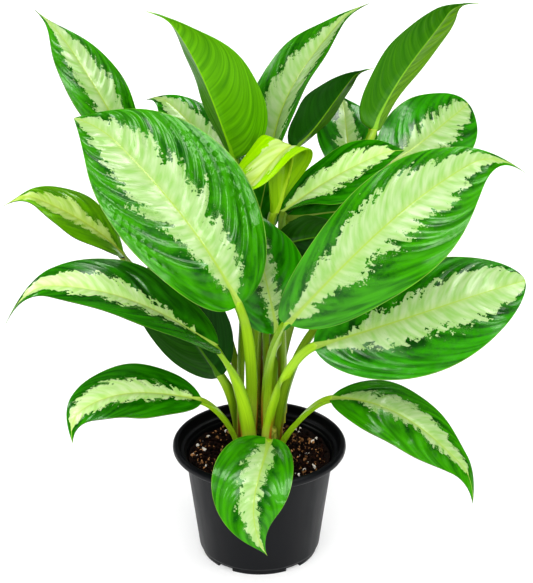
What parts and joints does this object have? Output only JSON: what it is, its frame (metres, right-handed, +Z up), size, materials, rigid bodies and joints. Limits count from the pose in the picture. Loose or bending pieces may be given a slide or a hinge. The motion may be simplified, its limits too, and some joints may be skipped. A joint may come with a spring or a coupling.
{
  "type": "potted chinese evergreen",
  "caption": "Chinese evergreen with cream-splashed leaves in a round black moulded nursery pot, 17 cm across the rim.",
  "frame": {"origin": "middle of the pot's underside, on the surface the pot stands on", "axes": "+Z up, -Y to the front of the plant, +X to the viewer's right"},
  "size_m": [0.4835, 0.2964, 0.5512],
  "materials": {
    "black_polypropylene": "soft satin",
    "peat_and_bark": "rough, matt",
    "cane_bark": "smooth, matt",
    "leaf_green": "waxy, semi-gloss",
    "leaf_young_green": "waxy, semi-gloss"
  },
  "bodies": {
    "root": {"pot": "black_polypropylene", "soil": "peat_and_bark", "cane_front_left": "cane_bark", "cane_front_right": "cane_bark", "cane_back_left": "cane_bark", "cane_back_middle": "cane_bark", "cane_back_right": "cane_bark", "leaf_front_hanging": "leaf_green", "leaf_front_left_low": "leaf_green", "leaf_front_right_low": "leaf_green", "leaf_left_lower": "leaf_green", "leaf_right_lower": "leaf_green", "leaf_left_big": "leaf_green", "leaf_right_big": "leaf_green", "leaf_right_inner": "leaf_green", "leaf_centre_shaded": "leaf_green", "leaf_left_middle": "leaf_green", "leaf_left_inner": "leaf_green", "leaf_top_left": "leaf_green", "leaf_top_centre_left": "leaf_green", "leaf_back_left": "leaf_green", "leaf_top_centre": "leaf_green", "leaf_back_centre_right": "leaf_green", "leaf_middle_right": "leaf_green", "leaf_middle_right_dark": "leaf_green", "leaf_middle_right_under": "leaf_green", "leaf_young": "leaf_young_green", "leaf_back_centre": "leaf_green", "leaf_back_right_upright": "leaf_green", "leaf_top_right": "leaf_green", "leaf_right_round": "leaf_green"}
  },
  "joints": []
}
